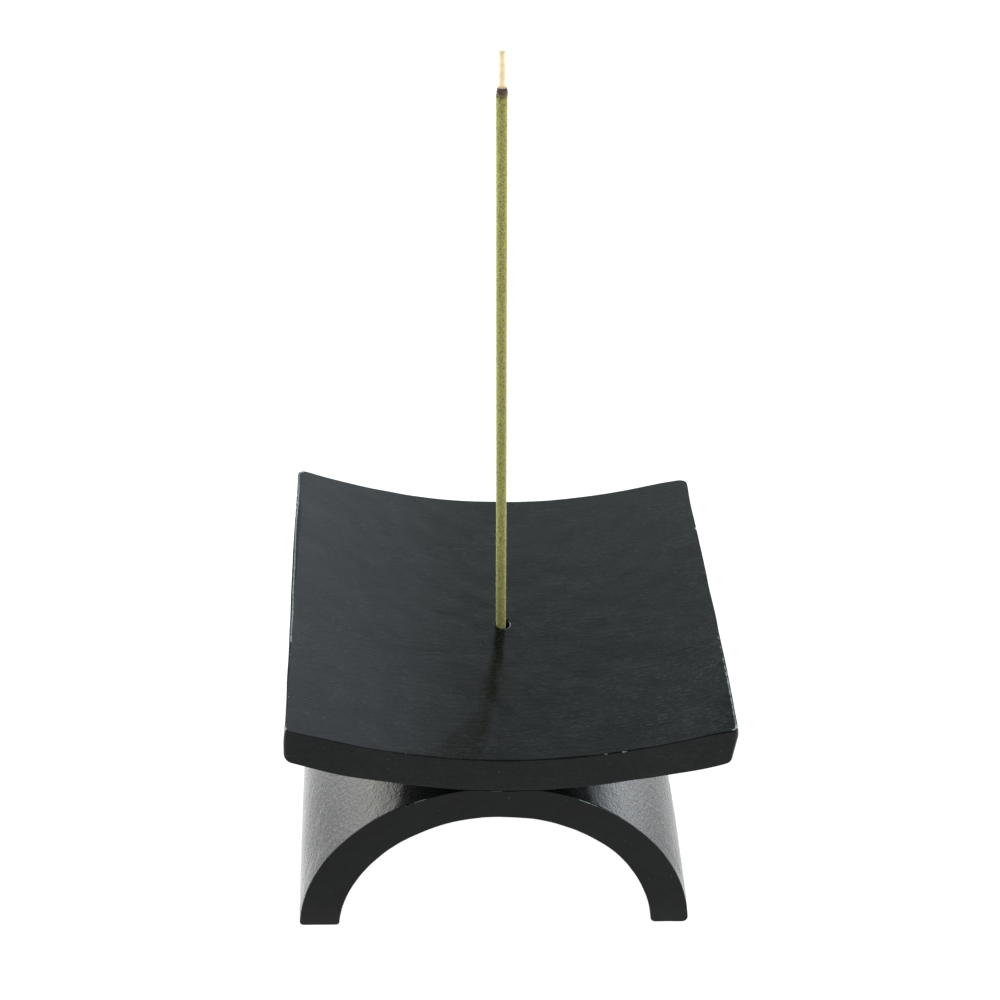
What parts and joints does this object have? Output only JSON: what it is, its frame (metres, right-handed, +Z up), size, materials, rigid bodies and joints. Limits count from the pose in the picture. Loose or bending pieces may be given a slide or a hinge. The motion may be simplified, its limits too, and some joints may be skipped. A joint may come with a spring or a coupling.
{
  "type": "incense burner",
  "caption": "Square stone dish with a shallow troughed top, bonded onto a half-round stone arch, holding a loose upright incense stick in a small drilled socket.",
  "frame": {"origin": "on the ground, under the centre of the object's box, which is the dish's outline", "axes": "+Z is up, the front faces -Y, +X is on the right seen from the front"},
  "size_m": [0.1008, 0.101, 0.1984],
  "materials": {
    "black_stone": "satin",
    "adhesive": "satin",
    "incense_paste": "matte",
    "char": "matte",
    "ash": "matte"
  },
  "bodies": {
    "burner": {"dish": "black_stone", "arch_stand": "black_stone", "adhesive_bond": "adhesive"},
    "stick": {"incense_stick": "incense_paste", "char_ring": "char", "ash_column": "ash"}
  },
  "joints": [
    {"name": "stick_lift", "type": "slide", "parent": "burner", "child": "stick", "axis": [-0.0359, 0, 0.9994], "range_m": [0, 0.04]}
  ]
}
